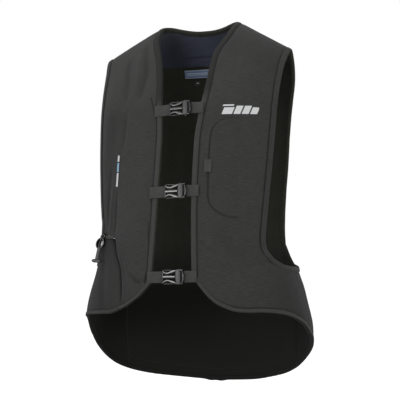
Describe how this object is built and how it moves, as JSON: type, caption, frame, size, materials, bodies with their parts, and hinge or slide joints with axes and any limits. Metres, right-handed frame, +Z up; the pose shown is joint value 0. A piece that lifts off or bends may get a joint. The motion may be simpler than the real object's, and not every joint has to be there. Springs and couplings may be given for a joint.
{
  "type": "airbag riding vest",
  "caption": "Charcoal sleeveless riding vest with a dropped tail, front buckles, access flap and hanging trigger fitting, held as worn.",
  "frame": {"origin": "midway between the two shoulder seams, where the vest rests on the wearer or a hanger", "axes": "+Z up, the vest faces -Y, +X towards the wearer's left"},
  "size_m": [0.4364, 0.2594, 0.6892],
  "materials": {
    "shell_cloth": "fine woven, matt",
    "band_cloth": "fine woven, matt",
    "lining_cloth": "knitted, matt",
    "navy_cloth": "knitted, matt",
    "webbing": "ribbed webbing",
    "label_cloth": "woven label",
    "buckle_plastic": "moulded, satin",
    "reflective_film": "reflective transfer film"
  },
  "bodies": {
    "root": {"access_flap": "shell_cloth", "back_lining": "lining_cloth", "back_panel": "shell_cloth", "bottom_buckle_female": "buckle_plastic", "bottom_buckle_male": "buckle_plastic", "bottom_strap_left_side": "webbing", "bottom_strap_right_side": "webbing", "chest_reflective_patch": "reflective_film", "collar_binding": "band_cloth", "flap_pull_tab": "webbing", "left_armhole_back_binding": "band_cloth", "left_armhole_front_binding": "band_cloth", "left_front_facing": "band_cloth", "left_front_panel": "shell_cloth", "left_side_hem_binding": "band_cloth", "left_side_panel": "shell_cloth", "middle_buckle_female": "buckle_plastic", "middle_buckle_male": "buckle_plastic", "middle_strap_left_side": "webbing", "middle_strap_right_side": "webbing", "neck_label": "label_cloth", "neck_lining": "navy_cloth", "right_armhole_back_binding": "band_cloth", "right_armhole_front_binding": "band_cloth", "right_front_facing": "band_cloth", "right_front_panel": "shell_cloth", "right_side_hem_binding": "band_cloth", "right_side_panel": "shell_cloth", "side_strip": "reflective_film", "size_tab": "webbing", "tail_binding": "band_cloth", "top_buckle_female": "buckle_plastic", "top_buckle_male": "buckle_plastic", "top_strap_left_side": "webbing", "top_strap_right_side": "webbing", "trigger_fitting": "buckle_plastic", "trigger_strap": "webbing"}
  },
  "joints": []
}
